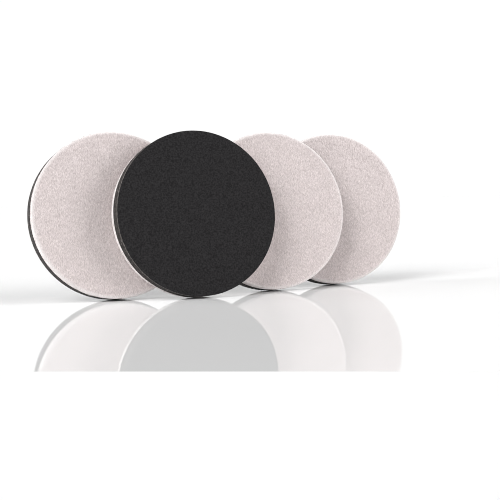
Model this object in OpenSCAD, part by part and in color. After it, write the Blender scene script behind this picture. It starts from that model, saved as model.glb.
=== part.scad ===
// A set of round furniture sliders standing in a row, each leaning back on its rear edge.
// A slider is a felt pad, which rides on the floor, held to a foam pad, which grips a furniture foot.
// Lengths are in millimetres and angles in degrees. The row runs along X, its faces look to -Y.

/* [Foam pad] */
// Diameter of the foam pad, the nominal size of a slider
foam_d = 88.9; // [60:0.1:180]
// Thickness of the foam pad
foam_t = 8; // [3:0.1:12]
// Rounding of the edge round the foam's gripping face
foam_edge_r = 0.6; // [0.2:0.1:1.5]

/* [Felt pad] */
// How far the felt's rim lies inside the foam's rim
felt_inset = 0.1; // [0:0.05:2]
// Thickness of the felt pad
felt_t = 4.5; // [2:0.1:8]
// Rounding of the edge round the felt's sliding face
felt_edge_r = 1; // [0.3:0.1:1.8]

/* [Adhesive film] */
// Thickness of the film between felt and foam
film_t = 0.2; // [0.1:0.05:0.8]
// How far the film's rim lies inside the felt's rim
film_inset = 0.6; // [0.2:0.1:3]

/* [Row] */
// Angle at which the sliders lean back from upright
lean = 7; // [0:0.5:15]
// How far the left slider reaches in behind the front one
left_overlap = 47.4; // [5:0.1:58]
// How far the right slider reaches in behind the middle one
right_overlap = 42.6; // [5:0.1:58]
// Clear space between the rims of the left and the middle slider, which stand side by side
side_gap = 1.8; // [0.5:0.1:20]
// Clear space between the front slider's back and the left slider's face
left_gap = 0.8; // [0.3:0.1:20]
// Clear space between the front slider's back and the middle slider's face
middle_gap = 0.8; // [0.3:0.1:20]
// Clear space between the middle slider's back and the right slider's face
right_gap = 0.8; // [0.3:0.1:20]

/* [Hidden] */
$fn = 128;
quarter_turn = 90;
half_turn = 180;

// Radii of the three layers, each drawn in from the layer that it lines up with
foam_r = foam_d / 2;
felt_r = foam_r - felt_inset;
film_r = felt_r - film_inset;

// Heights in a slider that lies felt down, from its sliding face
film_z = felt_t;
foam_z = film_z + film_t;
slider_t = foam_z + foam_t;

// How far a rounded rear edge reaches below the centre of the front face
function edge_drop(r, edge_r) = (r - edge_r) * cos(lean) + (slider_t - edge_r) * sin(lean) + edge_r;

// Height of the front face's centre when the slider's lowest rim just touches the floor
felt_first_h = edge_drop(foam_r, foam_edge_r);
foam_first_h = max(edge_drop(felt_r, felt_edge_r), foam_r * cos(lean) + foam_t * sin(lean));

// Depth of each front face behind the front slider's face, square to the faces
left_depth = slider_t + left_gap;
middle_depth = slider_t + middle_gap;
right_depth = middle_depth + slider_t + right_gap;

// Places along the row, from the front slider's centre
left_x = left_overlap - foam_d;
middle_x = left_x + foam_d + side_gap;
right_x = middle_x + foam_d - right_overlap;

// Place of a front face's centre behind the line where the front slider's face would meet the floor
function face_y(depth, height) = depth / cos(lean) + height * tan(lean);

// Middle of the row's bounding box, which stands at the origin
edge_centre_r = foam_r - foam_edge_r;
row_front_y = face_y(0, foam_first_h) - edge_centre_r * sin(lean) + foam_edge_r * cos(lean) - foam_edge_r;
row_back_y = face_y(right_depth, felt_first_h) + edge_centre_r * sin(lean)
    + (slider_t - foam_edge_r) * cos(lean) + foam_edge_r;
row_mid_x = (left_x + right_x) / 2;
row_mid_y = (row_front_y + row_back_y) / 2;

// Round pad with a square lower edge and a rounded upper edge
module edge_rounded_pad(r, t, edge_r) {
    rotate_extrude() {
        square([r - edge_r, t]);
        square([r, t - edge_r]);
        translate([r - edge_r, t - edge_r])
            circle(edge_r);
    }
}

// Needled felt pad, its rounded sliding face down
module felt_pad() {
    color("#ddd5d1")
        translate([0, 0, felt_t])
            rotate([half_turn, 0, 0])
                edge_rounded_pad(felt_r, felt_t, felt_edge_r);
}

// Adhesive film, drawn back from both rims so that a fine groove shows between the pads
module adhesive_film() {
    color("#6f6a66")
        translate([0, 0, film_z])
            cylinder(r = film_r, h = film_t);
}

// Closed-cell foam pad, its gripping face up
module foam_pad() {
    color("#323132")
        translate([0, 0, foam_z])
            edge_rounded_pad(foam_r, foam_t, foam_edge_r);
}

// Stands a slider in the row, leaning back, its lower layer in front
module stand_up(x, depth, height) {
    translate([x - row_mid_x, face_y(depth, height) - row_mid_y, height])
        rotate([-quarter_turn - lean, 0, 0])
            children();
}

// The front slider is turned over, so that its foam looks forward
module front_slider() {
    stand_up(0, 0, foam_first_h)
        translate([0, 0, slider_t])
            rotate([half_turn, 0, 0])
                children();
}

module left_slider() {
    stand_up(left_x, left_depth, felt_first_h)
        children();
}

module middle_slider() {
    stand_up(middle_x, middle_depth, felt_first_h)
        children();
}

module right_slider() {
    stand_up(right_x, right_depth, felt_first_h)
        children();
}

front_slider() foam_pad();  // front_foam_pad
front_slider() adhesive_film();  // front_adhesive_film
front_slider() felt_pad();  // front_felt_pad
left_slider() felt_pad();  // left_felt_pad
left_slider() adhesive_film();  // left_adhesive_film
left_slider() foam_pad();  // left_foam_pad
middle_slider() felt_pad();  // middle_felt_pad
middle_slider() adhesive_film();  // middle_adhesive_film
middle_slider() foam_pad();  // middle_foam_pad
right_slider() felt_pad();  // right_felt_pad
right_slider() adhesive_film();  // right_adhesive_film
right_slider() foam_pad();  // right_foam_pad
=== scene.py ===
"""Looks of a set of round furniture sliders: needled felt, die-cut foam and the film that bonds them.

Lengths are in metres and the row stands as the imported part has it. A slider is modelled lying flat,
felt up and foam down, with the middle of its film at height 0, and then stood in its place in the row.
"""
import math
import random

import bmesh
import bpy
from mathutils import Matrix, Vector, noise


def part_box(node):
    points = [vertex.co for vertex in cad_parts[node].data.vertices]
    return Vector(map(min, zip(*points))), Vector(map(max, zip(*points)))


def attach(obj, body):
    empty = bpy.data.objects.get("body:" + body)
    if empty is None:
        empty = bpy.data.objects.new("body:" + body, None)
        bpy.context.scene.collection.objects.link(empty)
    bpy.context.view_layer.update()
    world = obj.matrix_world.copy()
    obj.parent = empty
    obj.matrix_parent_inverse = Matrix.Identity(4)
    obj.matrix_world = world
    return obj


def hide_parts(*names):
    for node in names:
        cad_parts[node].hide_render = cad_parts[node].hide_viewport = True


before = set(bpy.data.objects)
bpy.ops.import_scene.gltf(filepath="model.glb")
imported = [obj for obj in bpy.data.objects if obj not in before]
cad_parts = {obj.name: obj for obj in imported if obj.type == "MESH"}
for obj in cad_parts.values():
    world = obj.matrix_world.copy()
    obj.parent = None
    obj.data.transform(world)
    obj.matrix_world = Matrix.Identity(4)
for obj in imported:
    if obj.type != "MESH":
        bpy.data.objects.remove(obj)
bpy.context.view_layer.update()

MM = 0.001
SLIDERS = ("front", "left", "middle", "right")
LEAN = math.radians(7)

# The part's own sizes
FOAM_R = 44.45 * MM
FOAM_T = 8 * MM
FOAM_EDGE_R = 0.6 * MM
FELT_R = 44.35 * MM
FELT_T = 4.5 * MM
FELT_EDGE_R = 1 * MM
FILM_T = 0.2 * MM

# Heights in a slider that lies flat: the felt's two faces, and the foam's glued face
FELT_LOW = FILM_T / 2
FELT_TOP = FELT_LOW + FELT_T
FOAM_HIGH = -FILM_T / 2

# How finely the pads are modelled: steps round a pad, and the spacing of the rings on its faces and wall
FELT_STEPS = 560
FELT_RING = 0.43 * MM
FELT_WALL_RING = 0.3 * MM
FOAM_STEPS = 420
FOAM_RING = 1.2 * MM
FOAM_WALL_RING = 0.4 * MM
GLUED_RING = 6 * MM
EDGE_RINGS = 5
MERGE = 0.0005 * MM

# Small cut corner where a pad's wall meets its glued face: its width along the face, and its height
FELT_CUT = (0.15 * MM, 0.08 * MM)
FOAM_CUT = (0.12 * MM, 0.06 * MM)

# What lies this near to the glued face stays flat
GLUED_FLAT = 0.01 * MM

# Relief of the felt: broad unevenness, tufts of fibre and the pits of the felting needles
FELT_SWELL = 0.07 * MM
SWELL_W = 9 * MM
FELT_TUFT = 0.12 * MM
TUFT_W = 0.9 * MM
TUFT_L = 2.4 * MM
FELT_PIT = 0.10 * MM
PIT_SPACING = 2.4 * MM
PIT_R = 0.5 * MM

# Directions of the tufts in the plane of a pad, how far apart in the noise each direction's tufts are
# drawn, and the share of a tuft's height that lies at the felt's own surface
TUFT_TURNS = (0.35, 1.4, 2.45)
TUFT_APART = 7
TUFT_LEVEL_SHARE = 0.75

# How far in from its rim the felt is painted paler: a painted highlight of the lit rim and of light
# scattered through its loose fibres
FELT_RIM_HIGHLIGHT_W = 1.8 * MM

# Relief of the foam: the hollow that a cutting die leaves in the wall, and small unevenness
FOAM_HOLLOW = 0.10 * MM
FOAM_UNEVEN = 0.035 * MM
UNEVEN_W = 5 * MM
UNEVEN_OCTAVES = 3

# A face of the foam belongs to its wall where the upright part of its normal is less than this
WALL_UPRIGHT = 0.5

# How far from the edge of its gripping face the foam's wall is painted pale: a painted highlight of the
# lit rounded edge, mixed with patchy wear
FOAM_EDGE_HIGHLIGHT_W = 1.8 * MM

# Steps in the noise from one slider's pads to the next one's, so that no two are alike
FELT_PATTERN_STEP = Vector((0.31, 0.17, 0.05))
FOAM_PATTERN_STEP = Vector((0.23, 0.41, 0.11))

# Loose fibres of a felt pad. Real ones are 0.02 to 0.03 mm thick: they are drawn coarser to show
FIBRE_R = 0.03 * MM
FIBRE_END_SHARE = 0.4
FIBRE_SHARES = (0, 0.25, 0.5, 0.75, 1)
FACE_FIBRES = 1100
RIM_FIBRES = 700
WALL_FIBRES = 300
STRAY_FIBRES = 50

# Where they lie: how far the face's own keep from the rim, how deep the roots are on the face and round
# the rim, and how far the strays on the foam stand off its wall
FACE_MARGIN = 3 * MM
FACE_ROOT = 0.02 * MM
RIM_ROOT = 0.05 * MM
STRAY_GAP = 0.02 * MM

# Share of the way up the felt's wall, and over its rounded edge, that is wall
WALL_SHARE = 0.75


# Places

def stand_in_row(slider):
    """Matrix that takes a slider, modelled lying flat, to its place in the row."""
    low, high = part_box(f"{slider}_adhesive_film")
    turned_over = math.pi if slider == "front" else 0
    tip_up = Matrix.Rotation(math.pi / 2 - LEAN, 4, "X")
    return Matrix.Translation((low + high) / 2) @ tip_up @ Matrix.Rotation(turned_over, 4, "Y")


def press_on_floor(data):
    """Presses flat what would reach below the floor, where felt or fibres rest on it."""
    if isinstance(data, bpy.types.Mesh):
        points = data.vertices
        floor = 0
    else:
        points = [knot for strand in data.splines for knot in strand.points]
        floor = FIBRE_R
    for point in points:
        point.co.z = max(point.co.z, floor)


def add_piece(name, data, slider, materials):
    """Makes an object of mesh or curve data, which rides on its slider."""
    data.transform(stand_in_row(slider))
    press_on_floor(data)
    for material in materials:
        data.materials.append(material)
    piece = bpy.data.objects.new(name, data)
    bpy.context.scene.collection.objects.link(piece)
    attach(piece, f"{slider}_slider")
    return piece


# Pads

def steps_between(start, end, size):
    """Even steps from start to end of about the given size, without the end."""
    count = max(1, round(abs(end - start) / size))
    return [start + (end - start) * i / count for i in range(count)]


def quarter_round(radius, height, edge_r):
    """Points of (radius, height) on a rounded edge, from the wall up to the face."""
    turns = [math.pi / 2 * i / EDGE_RINGS for i in range(EDGE_RINGS)]
    return [
        (radius - edge_r + edge_r * math.cos(turn), height - edge_r + edge_r * math.sin(turn))
        for turn in turns
    ]


def pad_profile(radius, low, top, edge_r, cut, wall_ring, face_ring):
    """Points of (radius, height) from the middle of a pad's glued face, round a small cut corner, up the
    wall and over the rounded edge, to the middle of its other face."""
    cut_w, cut_h = cut
    glued = [(ring, low) for ring in steps_between(GLUED_RING, radius, GLUED_RING)]
    wall = [(radius, height) for height in steps_between(low + cut_h, top - edge_r, wall_ring)]
    edge = quarter_round(radius, top, edge_r)
    face = [(ring, top) for ring in steps_between(radius - edge_r, 0, face_ring)]
    return [(0, low), *glued, (radius - cut_w, low), *wall, *edge, *face, (0, top)]


def spun_pad(profile, steps):
    """Spins a line of (radius, height) points, from axis to axis, into a closed round pad.
    A quarter is spun and mirrored twice, which is far quicker than a full spin of so many steps."""
    pad = bmesh.new()
    line = [pad.verts.new((radius, 0, height)) for radius, height in profile]
    edges = [pad.edges.new(pair) for pair in zip(line, line[1:])]
    bmesh.ops.spin(
        pad, geom=line + edges, axis=(0, 0, 1), cent=(0, 0, 0), angle=math.pi / 2, steps=steps // 4
    )
    for axis in "XY":
        whole = pad.verts[:] + pad.edges[:] + pad.faces[:]
        bmesh.ops.mirror(pad, geom=whole, axis=axis, merge_dist=MERGE)
    bmesh.ops.remove_doubles(pad, verts=pad.verts, dist=MERGE)
    bmesh.ops.recalc_face_normals(pad, faces=pad.faces)
    for face in pad.faces:
        face.smooth = True
    pad.normal_update()
    return pad


def felt_blank():
    """Smooth felt pad on its film, its sliding face up. Its points know how near they are to the rim,
    which sets the painted rim highlight.
    """
    profile = pad_profile(
        FELT_R, FELT_LOW, FELT_TOP, FELT_EDGE_R, FELT_CUT, FELT_WALL_RING, FELT_RING
    )
    pad = spun_pad(profile, FELT_STEPS)
    edge = pad.verts.layers.float.new("edge")
    for point in pad.verts:
        inward = FELT_R - math.hypot(point.co.x, point.co.y)
        point[edge] = max(0, 1 - inward / FELT_RIM_HIGHLIGHT_W)
    return pad


def foam_blank():
    """Smooth foam pad, its gripping face up and its glued face at height 0. Its points know how near they
    are to the edge of the gripping face, which sets the painted edge highlight."""
    profile = pad_profile(FOAM_R, 0, FOAM_T, FOAM_EDGE_R, FOAM_CUT, FOAM_WALL_RING, FOAM_RING)
    pad = spun_pad(profile, FOAM_STEPS)
    edge = pad.verts.layers.float.new("edge")
    for point in pad.verts:
        inward = FOAM_R - math.hypot(point.co.x, point.co.y)
        point[edge] = max(0, 1 - math.hypot(inward, FOAM_T - point.co.z) / FOAM_EDGE_HIGHLIGHT_W)
    return pad


def tufts(place):
    """Height of up to 1 of tufts of fibre that lie in three directions in the plane of a pad."""
    height = 0
    for turn in TUFT_TURNS:
        side = place.x * math.cos(turn) + place.y * math.sin(turn)
        run = place.y * math.cos(turn) - place.x * math.sin(turn)
        spot = Vector((side / TUFT_W + TUFT_APART * turn, run / TUFT_L, place.z / TUFT_W))
        height = max(height, 1 - 2 * abs(noise.noise(spot)))
    return height


def felt_relief(place, seed):
    """How far the felt stands proud at a place, in metres."""
    own = place + FELT_PATTERN_STEP * seed
    swell = FELT_SWELL * noise.noise(own / SWELL_W)
    tuft = FELT_TUFT * (tufts(own) - TUFT_LEVEL_SHARE)
    nearest = noise.voronoi(own / PIT_SPACING)[0][0] * PIT_SPACING
    pit = FELT_PIT * math.exp(-((nearest / PIT_R) ** 2))
    return swell + tuft - pit


def felt_mesh(blank, seed):
    """Felt pad with the relief of needled fibre on its face and wall."""
    pad = blank.copy()
    for point in pad.verts:
        if point.co.z > FELT_LOW + GLUED_FLAT:
            point.co += point.normal * felt_relief(point.co, seed)
    mesh = bpy.data.meshes.new("felt")
    pad.to_mesh(mesh)
    pad.free()
    return mesh


def foam_mesh(blank, seed):
    """Foam pad under its film: the wall hollowed by the cutting die, with its own finish."""
    pad = blank.copy()
    for face in pad.faces:
        face.material_index = int(abs(face.normal.z) < WALL_UPRIGHT)
    for point in pad.verts:
        if point.co.z > GLUED_FLAT:
            share = min(1, point.co.z / (FOAM_T - FOAM_EDGE_R))
            sideways = math.hypot(point.normal.x, point.normal.y)
            own = point.co + FOAM_PATTERN_STEP * seed
            hollow = FOAM_HOLLOW * math.sin(math.pi * share) * sideways
            uneven = FOAM_UNEVEN * noise.turbulence(own / UNEVEN_W, UNEVEN_OCTAVES, False)
            point.co += point.normal * (uneven - hollow)
    bmesh.ops.rotate(pad, verts=pad.verts, cent=(0, 0, 0), matrix=Matrix.Rotation(math.pi, 3, "X"))
    bmesh.ops.translate(pad, verts=pad.verts, vec=(0, 0, FOAM_HIGH))
    mesh = bpy.data.meshes.new("foam")
    pad.to_mesh(mesh)
    pad.free()
    return mesh


# Loose fibres

def add_strand(fibres, places):
    """Adds one fibre through the given places, thinner at its ends."""
    strand = fibres.splines.new("POLY")
    strand.points.add(len(places) - 1)
    for knot, place in zip(strand.points, places):
        knot.co = (*place, 1)
    strand.points[0].radius = FIBRE_END_SHARE
    strand.points[-1].radius = FIBRE_END_SHARE


def rim_place(turn, rise):
    """Place on the felt's wall and rounded edge, and the way out of the felt there.
    Rise is 0 at the film and 1 where the wall has rounded into the sliding face."""
    height = FELT_LOW + FELT_T * min(rise, WALL_SHARE)
    bend = max(0, rise - WALL_SHARE) / (1 - WALL_SHARE) * math.pi / 2
    out = Vector((math.cos(turn) * math.cos(bend), math.sin(turn) * math.cos(bend), math.sin(bend)))
    core = Vector((math.cos(turn), math.sin(turn), 0)) * (FELT_R - FELT_EDGE_R)
    return core + Vector((0, 0, height)) + out * FELT_EDGE_R, out


def add_face_fibres(fibres, draw, seed):
    """Fibres matted on the sliding face, each bent a little and lifted at its middle."""
    for _ in range(FACE_FIBRES):
        radius = (FELT_R - FACE_MARGIN) * math.sqrt(draw.random())
        turn = draw.uniform(0, math.tau)
        place = Vector((radius * math.cos(turn), radius * math.sin(turn), FELT_TOP))
        heading = draw.uniform(0, math.tau)
        bend = draw.uniform(-0.5, 0.5)
        stride = draw.uniform(0.35, 1.0) * MM
        lift = draw.uniform(0.02, 0.14) * MM
        places = []
        for share in FIBRE_SHARES:
            rise = felt_relief(place, seed) + lift * math.sin(math.pi * share) - FACE_ROOT
            places.append(place + Vector((0, 0, rise)))
            place = place + stride * Vector((math.cos(heading), math.sin(heading), 0))
            heading += bend
        add_strand(fibres, places)


def add_rim_fibres(fibres, draw):
    """Fuzz round the rim: fibres with a root in the felt and a free end."""
    for _ in range(RIM_FIBRES):
        turn = draw.uniform(0, math.tau)
        rise = draw.uniform(0.1, 1)
        sweep = draw.uniform(-1.2, 1.2) * MM / FELT_R
        climb = draw.uniform(-0.15, 0.15)
        reach = draw.uniform(0.06, 0.22) * MM
        places = []
        for share in FIBRE_SHARES:
            held = min(1, max(0.02, rise + climb * share))
            place, out = rim_place(turn + sweep * share, held)
            places.append(place + out * (reach * share - RIM_ROOT))
        add_strand(fibres, places)


def add_wall_fibres(fibres, draw, seed):
    """Longer fibres matted on the wall, along the rim."""
    for _ in range(WALL_FIBRES):
        turn = draw.uniform(0, math.tau)
        rise = draw.uniform(0.05, 0.8)
        sweep = draw.uniform(1.5, 4.5) * MM / FELT_R
        climb = draw.uniform(-0.15, 0.15)
        lift = draw.uniform(0.04, 0.12) * MM
        places = []
        for share in FIBRE_SHARES:
            held = min(0.95, max(0.05, rise + climb * share))
            place, out = rim_place(turn + sweep * share, held)
            places.append(place + out * (lift * math.sin(math.pi * share) + felt_relief(place, seed)))
        add_strand(fibres, places)


def add_stray_fibres(fibres, draw):
    """A few fibres that cling to the foam's wall."""
    out = FOAM_R + STRAY_GAP
    for _ in range(STRAY_FIBRES):
        turn = draw.uniform(0, math.tau)
        height = FOAM_HIGH - draw.uniform(0.1, 5.5) * MM
        sweep = draw.uniform(-1.5, 1.5) * MM / FOAM_R
        drop = draw.uniform(-1, 1) * MM
        places = []
        for share in FIBRE_SHARES:
            way = turn + sweep * share
            places.append((out * math.cos(way), out * math.sin(way), height + drop * share ** 2))
        add_strand(fibres, places)


def felt_fibres(seed):
    """Loose fibres of a felt pad: on its face, round its rim, along its wall and on the foam."""
    draw = random.Random(seed)
    fibres = bpy.data.curves.new("fibres", "CURVE")
    fibres.dimensions = "3D"
    fibres.bevel_depth = FIBRE_R
    fibres.bevel_resolution = 0
    fibres.use_fill_caps = True
    add_face_fibres(fibres, draw, seed)
    add_rim_fibres(fibres, draw)
    add_wall_fibres(fibres, draw, seed)
    add_stray_fibres(fibres, draw)
    return fibres


# Materials

def linear(hex_colour):
    """An sRGB hex colour as linear red, green, blue and alpha."""
    shades = [int(hex_colour[i:i + 2], 16) / 255 for i in (1, 3, 5)]
    return [c / 12.92 if c <= 0.04045 else ((c + 0.055) / 1.055) ** 2.4 for c in shades] + [1]


def add_node(tree, kind, inputs=(), **settings):
    """Adds a node with its settings. Inputs are pairs of a socket's name or number and a value, or an
    output to link."""
    made = tree.nodes.new(kind)
    for field, value in settings.items():
        setattr(made, field, value)
    for name, value in inputs:
        if isinstance(value, bpy.types.NodeSocket):
            tree.links.new(value, made.inputs[name])
        else:
            made.inputs[name].default_value = value
    return made


def new_material(name):
    """An empty node material, its tree and its output node."""
    material = bpy.data.materials.new(name)
    material.use_nodes = True
    tree = material.node_tree
    tree.nodes.clear()
    return material, tree, tree.nodes.new("ShaderNodeOutputMaterial")


def needled_felt():
    """Needled polyester felt: short fibres matted at all angles, dull and soft, with a faint bloom at its
    edges.
    The eye sees pale streaks over darker gaps, and slow clouds where the web is thicker. Its rim is
    painted paler, as a painted highlight."""
    material, tree, output = new_material("needled_felt")
    place = add_node(tree, "ShaderNodeTexCoord").outputs["Object"]
    flat = add_node(tree, "ShaderNodeMapping", [
        ("Vector", place), ("Rotation", (LEAN - math.pi / 2, 0, 0)),
    ]).outputs[0]

    # Streaks of fibre. Real fibres are finer: these are the bundles that show
    streak_w = 0.36 * MM
    streak_l = 1.4 * MM
    streaks = None
    for turn in (-0.35, 0.0, 0.35):
        turned = add_node(tree, "ShaderNodeMapping", [
            ("Vector", flat), ("Rotation", (0, 0, turn)), ("Scale", (streak_w, streak_l, streak_w)),
        ], vector_type="TEXTURE").outputs[0]
        bundle = add_node(tree, "ShaderNodeTexNoise", [
            ("Vector", turned), ("Scale", 1.0), ("Detail", 2.0), ("Roughness", 0.6),
        ]).outputs[0]
        if streaks is None:
            streaks = bundle
        else:
            streaks = add_node(tree, "ShaderNodeMath", [
                (0, streaks), (1, bundle),
            ], operation="MAXIMUM").outputs[0]
    fibre = add_node(tree, "ShaderNodeMapRange", [
        ("Value", streaks), ("From Min", 0.45), ("From Max", 0.75),
    ]).outputs[0]

    # Clouds, where the web is thicker or thinner
    cloud_w = 8 * MM
    cloud = add_node(tree, "ShaderNodeTexNoise", [
        ("Vector", flat), ("Scale", 1 / cloud_w), ("Detail", 3.0),
    ]).outputs[0]
    base = add_node(tree, "ShaderNodeMix", [
        (0, fibre), (6, linear("#beb4b3")), (7, linear("#ede4e3")),
    ], data_type="RGBA").outputs[2]
    shade = add_node(tree, "ShaderNodeMapRange", [
        ("Value", cloud), ("From Min", 0.3), ("From Max", 0.7), ("To Min", 0.98), ("To Max", 1.02),
    ]).outputs[0]
    clouded = add_node(tree, "ShaderNodeMix", [
        (0, 1.0), (6, base), (7, shade),
    ], data_type="RGBA", blend_type="MULTIPLY").outputs[2]

    # Painted highlight: the rim and rounded edge are painted paler, standing in for the lit rim and light
    # scattered through loose fibres
    edge = add_node(tree, "ShaderNodeAttribute", attribute_name="edge").outputs["Fac"]
    painted_rim_highlight = add_node(tree, "ShaderNodeMath", [(0, edge), (1, 0.6)], operation="MULTIPLY").outputs[0]
    colour = add_node(tree, "ShaderNodeMix", [
        (0, painted_rim_highlight), (6, clouded), (7, linear("#f7f5f4")),
    ], data_type="RGBA").outputs[2]
    fibre_depth = 0.12 * MM
    bump = add_node(tree, "ShaderNodeBump", [
        ("Height", fibre), ("Strength", 0.5), ("Distance", fibre_depth),
    ])
    felt = add_node(tree, "ShaderNodeBsdfPrincipled", [
        ("Base Color", colour), ("Normal", bump.outputs[0]),
        ("Roughness", 1.0), ("Specular IOR Level", 0.1), ("Diffuse Roughness", 0.8),
        ("Sheen Weight", 0.25), ("Sheen Roughness", 0.5), ("Sheen Tint", linear("#fff6f2")),
    ])
    tree.links.new(felt.outputs[0], output.inputs["Surface"])
    return material


def foam_skin():
    """Closed-cell rubber foam, skived flat: near black and dull, with a fine pebbled grain."""
    material, tree, output = new_material("foam_skin")
    place = add_node(tree, "ShaderNodeTexCoord").outputs["Object"]

    # Real cells are about 0.2 mm across: they are drawn coarser to show
    cell_w = 0.7 * MM
    cell_depth = 0.12 * MM
    grain_w = 0.8 * MM
    cells = add_node(tree, "ShaderNodeTexVoronoi", [
        ("Vector", place), ("Scale", 1 / cell_w),
    ]).outputs["Distance"]
    grain = add_node(tree, "ShaderNodeTexNoise", [
        ("Vector", place), ("Scale", 1 / grain_w), ("Detail", 2.0),
    ]).outputs[0]
    spread = add_node(tree, "ShaderNodeMapRange", [
        ("Value", grain), ("From Min", 0.35), ("From Max", 0.65),
    ]).outputs[0]
    colour = add_node(tree, "ShaderNodeMix", [
        (0, spread), (6, linear("#161516")), (7, linear("#292829")),
    ], data_type="RGBA").outputs[2]
    bump = add_node(tree, "ShaderNodeBump", [
        ("Height", cells), ("Strength", 0.5), ("Distance", cell_depth),
    ])
    foam = add_node(tree, "ShaderNodeBsdfPrincipled", [
        ("Base Color", colour), ("Normal", bump.outputs[0]),
        ("Roughness", 0.7), ("Specular IOR Level", 0.15),
    ])
    tree.links.new(foam.outputs[0], output.inputs["Surface"])
    return material


def foam_cut():
    """The same foam where the die cut through it: opened cells, greyer than the skin and scuffed, with a
    painted highlight mixed with patchy wear by the edge of the gripping face.
    """
    material, tree, output = new_material("foam_cut")
    place = add_node(tree, "ShaderNodeTexCoord").outputs["Object"]

    # Real cells are about 0.2 mm across: they are drawn coarser to show
    cell_w = 0.8 * MM
    cell_depth = 0.15 * MM
    scuff_w = 1.4 * MM
    cells = add_node(tree, "ShaderNodeTexVoronoi", [
        ("Vector", place), ("Scale", 1 / cell_w),
    ]).outputs["Distance"]
    scuff = add_node(tree, "ShaderNodeTexNoise", [
        ("Vector", place), ("Scale", 1 / scuff_w), ("Detail", 3.0), ("Roughness", 0.6),
    ]).outputs[0]
    worn = add_node(tree, "ShaderNodeMapRange", [
        ("Value", scuff), ("From Min", 0.38), ("From Max", 0.66),
    ]).outputs[0]
    wall = add_node(tree, "ShaderNodeMix", [
        (0, worn), (6, linear("#322f2e")), (7, linear("#5f5b59")),
    ], data_type="RGBA").outputs[2]

    # Painted highlight: the wall by the edge of the gripping face is painted pale, standing in for light
    # on the rounded edge, mixed with patchy wear
    edge = add_node(tree, "ShaderNodeAttribute", attribute_name="edge").outputs["Fac"]
    patch_breakup = add_node(tree, "ShaderNodeMapRange", [
        ("Value", worn), ("To Min", 0.5), ("To Max", 1.0),
    ]).outputs[0]
    highlight_and_wear_mask = add_node(tree, "ShaderNodeMath", [(0, edge), (1, patch_breakup)], operation="MULTIPLY").outputs[0]
    highlit_and_worn_wall = add_node(tree, "ShaderNodeMix", [
        (0, highlight_and_wear_mask), (6, wall), (7, linear("#96918e")),
    ], data_type="RGBA").outputs[2]
    colour = add_node(tree, "ShaderNodeMix", [
        (0, cells), (6, linear("#1b1a1a")), (7, highlit_and_worn_wall),
    ], data_type="RGBA").outputs[2]
    bump = add_node(tree, "ShaderNodeBump", [
        ("Height", cells), ("Strength", 0.7), ("Distance", cell_depth),
    ])
    foam = add_node(tree, "ShaderNodeBsdfPrincipled", [
        ("Base Color", colour), ("Normal", bump.outputs[0]),
        ("Roughness", 0.85), ("Specular IOR Level", 0.25),
    ])
    tree.links.new(foam.outputs[0], output.inputs["Surface"])
    return material


def adhesive_film():
    """Acrylic adhesive film: a thin greyish layer, slightly glossy, with a faint ripple in its tone."""
    material, tree, output = new_material("adhesive_film")
    place = add_node(tree, "ShaderNodeTexCoord").outputs["Object"]
    ripple_w = 3 * MM
    ripple = add_node(tree, "ShaderNodeTexNoise", [
        ("Vector", place), ("Scale", 1 / ripple_w), ("Detail", 3.0),
    ]).outputs[0]
    colour = add_node(tree, "ShaderNodeMix", [
        (0, ripple), (6, linear("#55504c")), (7, linear("#7c756f")),
    ], data_type="RGBA").outputs[2]
    film = add_node(tree, "ShaderNodeBsdfPrincipled", [
        ("Base Color", colour), ("Roughness", 0.35), ("IOR", 1.47),
    ])
    tree.links.new(film.outputs[0], output.inputs["Surface"])
    return material


# The set of sliders

felt_finish = needled_felt()
foam_finishes = [foam_skin(), foam_cut()]
film_finish = adhesive_film()
felt_shape = felt_blank()
foam_shape = foam_blank()
for seed, slider in enumerate(SLIDERS, start=1):
    felt_pad = add_piece(f"{slider}_felt", felt_mesh(felt_shape, seed), slider, [felt_finish])
    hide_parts(f"{slider}_felt_pad")
    add_piece(f"{slider}_felt_fibres", felt_fibres(seed), slider, [felt_finish])
    foam_pad = add_piece(f"{slider}_foam", foam_mesh(foam_shape, seed), slider, foam_finishes)
    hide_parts(f"{slider}_foam_pad")
    film_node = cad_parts[f"{slider}_adhesive_film"]
    film_node.data.materials.clear()
    film_node.data.materials.append(film_finish)
felt_shape.free()
foam_shape.free()


# Studio

# How far the floor runs each way, in metres
FLOOR_REACH = 40

# The floor's lacquer ends this far in front of the row, on a line turned from the row
GLOSS_FRONT = 263 * MM
GLOSS_FRONT_TURN = math.radians(-30)
GLOSS_FRONT_FADE = 0.1 * MM

# Behind a line near the sliders' feet, which is turned too, the lacquer thins out
GLOSS_BACK = 7 * MM
GLOSS_BACK_TURN = math.radians(5.7)
GLOSS_BACK_FADE = 50 * MM

# How bright the white walls are as a light, and as they show
WALLS_LIGHT = 0.03
WALLS_SHOWN = 1.03

# Angle that each far light panel fills, seen from the row
PANEL_ANGLE = math.radians(36)


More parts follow.
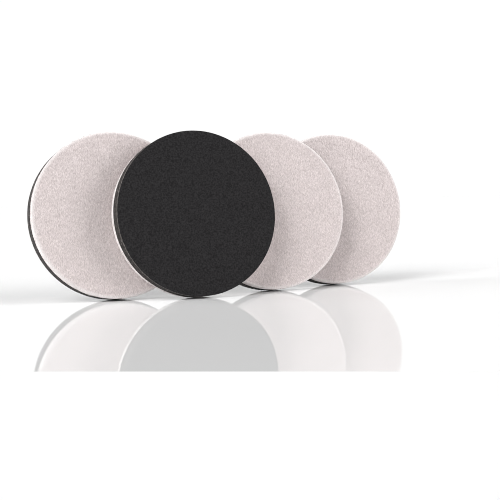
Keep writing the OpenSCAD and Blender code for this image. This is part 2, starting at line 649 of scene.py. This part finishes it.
def lacquered_board():
    """White lacquered board: matt from above, and a faint mirror at a low angle. The lacquer ends at a
    straight line in front of the row, and thins out behind it."""
    material, tree, output = new_material("lacquered_board")
    board = add_node(tree, "ShaderNodeBsdfDiffuse", [("Color", linear("#f1f1f1"))])
    mirror = add_node(tree, "ShaderNodeBsdfGlossy", [("Color", (1, 1, 1, 1)), ("Roughness", 0.01)])
    facing = add_node(tree, "ShaderNodeLayerWeight", [("Blend", 0.5)]).outputs["Facing"]
    gloss = add_node(tree, "ShaderNodeMapRange", [
        ("Value", facing), ("From Min", 0.6), ("From Max", 0.83), ("To Min", 0.0), ("To Max", 0.40),
    ]).outputs[0]
    place = add_node(tree, "ShaderNodeTexCoord").outputs["Object"]
    for turn, bare, full in (
        (GLOSS_FRONT_TURN, -GLOSS_FRONT, GLOSS_FRONT_FADE - GLOSS_FRONT),
        (GLOSS_BACK_TURN, GLOSS_BACK + GLOSS_BACK_FADE, GLOSS_BACK),
    ):
        turned = add_node(tree, "ShaderNodeMapping", [
            ("Vector", place), ("Rotation", (0, 0, turn)),
        ], vector_type="TEXTURE").outputs[0]
        depth = add_node(tree, "ShaderNodeSeparateXYZ", [(0, turned)]).outputs["Y"]
        lacquered = add_node(tree, "ShaderNodeMapRange", [
            ("Value", depth), ("From Min", bare), ("From Max", full),
        ]).outputs[0]
        gloss = add_node(tree, "ShaderNodeMath", [
            (0, gloss), (1, lacquered),
        ], operation="MULTIPLY").outputs[0]
    mixed = add_node(tree, "ShaderNodeMixShader", [
        (0, gloss), (1, board.outputs[0]), (2, mirror.outputs[0]),
    ])
    tree.links.new(mixed.outputs[0], output.inputs["Surface"])
    return material


def build_floor():
    """A pale floor that runs out of sight."""
    plane = bmesh.new()
    bmesh.ops.create_grid(plane, x_segments=1, y_segments=1, size=FLOOR_REACH)
    mesh = bpy.data.meshes.new("floor")
    plane.to_mesh(mesh)
    plane.free()
    mesh.materials.append(lacquered_board())
    floor = bpy.data.objects.new("floor", mesh)
    bpy.context.scene.collection.objects.link(floor)


def add_panel(name, aside, above, strength):
    """A large soft light panel, far off, that looks at the row. Angles are in degrees: aside of the way
    that the sliders face, to the right, and above the floor. The lacquered floor doesn't mirror it."""
    aside, above = math.radians(aside), math.radians(above)
    level = math.cos(above)
    way = Vector((math.sin(aside) * level, -math.cos(aside) * level, math.sin(above)))
    data = bpy.data.lights.new(name, "SUN")
    data.energy = strength
    data.angle = PANEL_ANGLE
    light = bpy.data.objects.new(name, data)
    light.rotation_euler = way.to_track_quat("Z", "Y").to_euler()
    light.visible_glossy = False
    bpy.context.scene.collection.objects.link(light)


def light_studio():
    """White walls that show white but give little light, and soft light panels round the row."""
    world = bpy.data.worlds.new("studio")
    world.use_nodes = True
    tree = world.node_tree
    ray = add_node(tree, "ShaderNodeLightPath")
    seen = add_node(tree, "ShaderNodeMath", [
        (0, ray.outputs["Is Camera Ray"]), (1, ray.outputs["Is Glossy Ray"]),
    ], operation="MAXIMUM").outputs[0]
    strength = add_node(tree, "ShaderNodeMapRange", [
        ("Value", seen), ("To Min", WALLS_LIGHT), ("To Max", WALLS_SHOWN),
    ])
    tree.nodes["Background"].inputs["Color"].default_value = (1, 1, 1, 1)
    tree.links.new(strength.outputs[0], tree.nodes["Background"].inputs["Strength"])
    bpy.context.scene.world = world
    add_panel("left_panel", -60, 30, 1.75)
    add_panel("high_left_panel", -60, 55, 1.15)
    add_panel("rear_left_panel", -110, 25, 1.75)
    add_panel("right_panel", 60, 12, 1.9)
    add_panel("high_right_panel", 60, 30, 0.75)
    add_panel("front_right_panel", 30, 12, 0.36)
    add_panel("rear_panel", 180, 15, 0.5)


def set_picture():
    """Keeps the felt's fine grain in the picture: no tone curve, a narrow pixel filter, and noise removal
    that trusts the materials' own detail."""
    scene = bpy.context.scene
    scene.view_settings.view_transform = "Standard"
    scene.cycles.filter_width = 1.0
    scene.cycles.denoising_prefilter = "NONE"


def place_camera():
    """The photograph's eye: low, from the left, with a slight roll."""
    data = bpy.data.cameras.new("camera")
    data.sensor_width = 36
    data.lens = 73.776
    camera = bpy.data.objects.new("camera", data)
    camera.location = (-0.209269, -0.534350, 0.051797)
    down = math.radians(2.80636)
    turn = math.radians(-22.32962)
    roll = math.radians(-1.30687)
    aim = Matrix.Rotation(turn, 3, "Z") @ Matrix.Rotation(math.pi / 2 - down, 3, "X")
    camera.rotation_euler = (aim @ Matrix.Rotation(roll, 3, "Z")).to_euler()
    bpy.context.scene.collection.objects.link(camera)
    bpy.context.scene.camera = camera


build_floor()
light_studio()
set_picture()
place_camera()
